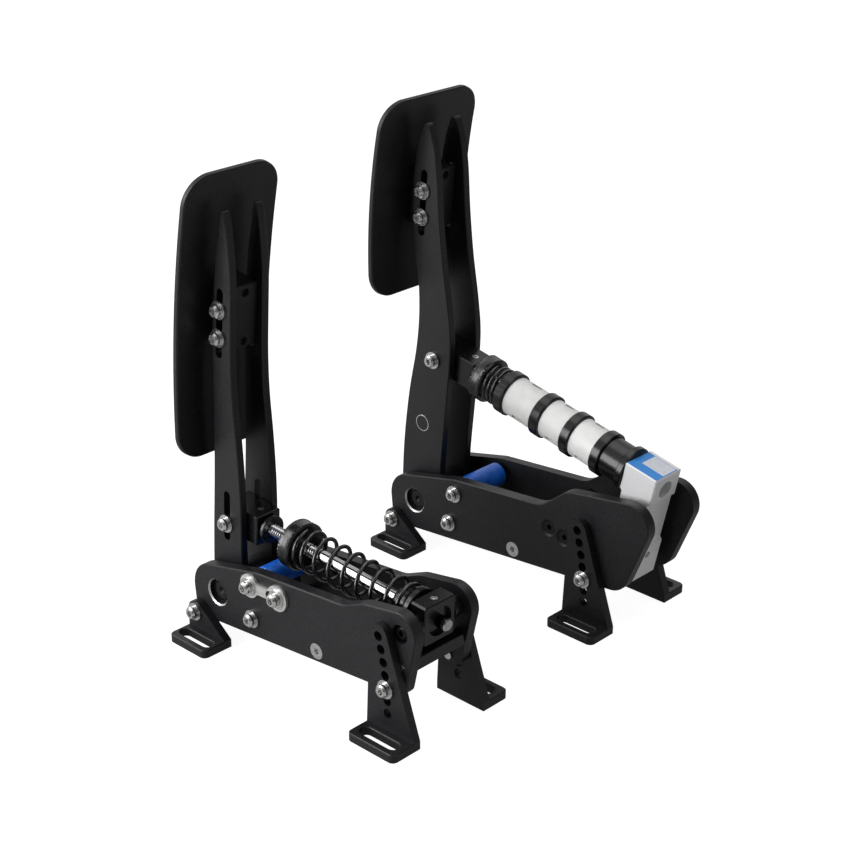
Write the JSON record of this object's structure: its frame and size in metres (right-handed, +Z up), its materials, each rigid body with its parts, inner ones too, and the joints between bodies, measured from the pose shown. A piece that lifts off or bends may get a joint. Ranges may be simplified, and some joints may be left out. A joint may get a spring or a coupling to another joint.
{
  "type": "sim racing pedal set",
  "caption": "Throttle and brake pedals, each on its own slotted feet: the throttle presses a coil spring along its rod, the brake squeezes an elastomer stack onto a load cell.",
  "frame": {"origin": "on the floor, under the middle of the set's bounding box", "axes": "+X the way the pedals are pressed, from the driver to the back; +Y from the throttle to the brake; +Z up"},
  "size_m": [0.2485, 0.3068, 0.3469],
  "materials": {
    "black_coat": "fine-grained black coat, satin",
    "stainless_steel": "bright stainless",
    "polished_rod": "polished",
    "cell_aluminium": "clear satin",
    "black_anodised": "black anodised",
    "spring_steel": "gloss black",
    "black_screw": "black oxide",
    "blue_urethane": "satin blue",
    "pale_elastomer": "matt pale grey",
    "potting": "potted",
    "magnet": "plated"
  },
  "bodies": {
    "bases": {"throttle_side_plate_near": "black_coat", "throttle_side_plate_far": "black_coat", "throttle_front_foot_near": "black_coat", "throttle_front_foot_far": "black_coat", "throttle_rear_foot_near": "black_coat", "throttle_rear_foot_far": "black_coat", "throttle_foot_fasteners": "stainless_steel", "throttle_frame_fasteners": "stainless_steel", "throttle_frame_spacers": "black_anodised", "throttle_bump_roller": "blue_urethane", "throttle_axle_bushes": "stainless_steel", "brake_side_plate_near": "black_coat", "brake_side_plate_far": "black_coat", "brake_front_foot_near": "black_coat", "brake_front_foot_far": "black_coat", "brake_rear_foot_near": "black_coat", "brake_rear_foot_far": "black_coat", "brake_foot_fasteners": "stainless_steel", "brake_frame_fasteners": "stainless_steel", "brake_frame_spacers": "black_anodised", "brake_bump_roller": "blue_urethane", "brake_axle_bushes": "stainless_steel", "throttle_adjuster_link": "stainless_steel", "throttle_spring_seat": "black_anodised", "throttle_rear_block": "black_anodised", "throttle_position_sensor": "potting", "brake_load_cell": "cell_aluminium", "brake_cell_mount": "black_anodised", "brake_mount_screws": "black_screw"},
    "throttle_pedal": {"throttle_axle": "stainless_steel", "throttle_arm_near": "black_coat", "throttle_arm_far": "black_coat", "throttle_heel_block": "black_coat", "throttle_pad_bracket": "black_coat", "throttle_pad": "black_coat", "throttle_arm_fasteners": "stainless_steel", "throttle_magnet": "magnet"},
    "throttle_rod": {"throttle_front_block": "black_anodised", "throttle_rod": "polished_rod", "throttle_rod_nuts": "black_anodised", "throttle_spring": "spring_steel"},
    "brake_pedal": {"brake_axle": "stainless_steel", "brake_arm_near": "black_coat", "brake_arm_far": "black_coat", "brake_heel_block": "black_coat", "brake_pad_bracket": "black_coat", "brake_pad": "black_coat", "brake_arm_fasteners": "stainless_steel"},
    "brake_stack": {"brake_stack_seat": "black_anodised", "brake_ring_4": "black_anodised", "brake_elastomer_3": "pale_elastomer"},
    "brake_ring_1": {"brake_ring_1": "black_anodised"},
    "brake_ring_2": {"brake_ring_2": "black_anodised", "brake_elastomer_1": "pale_elastomer"},
    "brake_ring_3": {"brake_ring_3": "black_anodised", "brake_elastomer_2": "pale_elastomer"},
    "brake_rod": {"brake_front_block": "black_anodised", "brake_rod": "polished_rod", "brake_rod_nuts": "black_anodised", "brake_spring": "spring_steel"}
  },
  "joints": [
    {"name": "throttle_hinge", "type": "hinge", "parent": "bases", "child": "throttle_pedal", "pos_m": [-0.0948, -0.09875, 0.03841], "axis": [0, 1, 0], "range_deg": [0, 12], "stiffness_Nm_per_rad": 30, "springref_deg": -8.59},
    {"name": "throttle_rod_slide", "type": "slide", "parent": "bases", "child": "throttle_rod", "axis": [0.9984, 0, -0.0563], "range_m": [0, 0.01015], "deforming": ["throttle_spring"]},
    {"name": "brake_hinge", "type": "hinge", "parent": "bases", "child": "brake_pedal", "pos_m": [-0.0959, 0.09875, 0.03841], "axis": [0, 1, 0], "range_deg": [0, 3.6], "stiffness_Nm_per_rad": 600, "springref_deg": -1.15},
    {"name": "brake_stack_tilt", "type": "hinge", "parent": "bases", "child": "brake_stack", "pos_m": [0.08786, 0.09875, 0.11351], "axis": [0, 1, 0], "range_deg": [0, 0.286]},
    {"name": "brake_ring_1_slide", "type": "slide", "parent": "brake_stack", "child": "brake_ring_1", "axis": [0.977, 0, -0.213], "range_m": [0, 0.00532], "deforming": ["brake_elastomer_1"]},
    {"name": "brake_ring_2_slide", "type": "slide", "parent": "brake_stack", "child": "brake_ring_2", "axis": [0.977, 0, -0.213], "range_m": [0, 0.00312], "deforming": ["brake_elastomer_2"]},
    {"name": "brake_ring_3_slide", "type": "slide", "parent": "brake_stack", "child": "brake_ring_3", "axis": [0.977, 0, -0.213], "range_m": [0, 0.00157], "deforming": ["brake_elastomer_3"]},
    {"name": "brake_rod_slide", "type": "slide", "parent": "brake_stack", "child": "brake_rod", "axis": [0.977, 0, -0.213], "range_m": [0, 0.00712], "deforming": ["brake_spring"]}
  ],
  "couplings": [
    {"joint": "throttle_rod_slide", "follows": "throttle_hinge", "m_per_rad": 0.048347},
    {"joint": "brake_stack_tilt", "follows": "brake_hinge", "ratio": 0.07846},
    {"joint": "brake_rod_slide", "follows": "brake_hinge", "m_per_rad": 0.11299},
    {"joint": "brake_ring_1_slide", "follows": "brake_hinge", "m_per_rad": 0.084352},
    {"joint": "brake_ring_2_slide", "follows": "brake_hinge", "m_per_rad": 0.049338},
    {"joint": "brake_ring_3_slide", "follows": "brake_hinge", "m_per_rad": 0.024669}
  ]
}
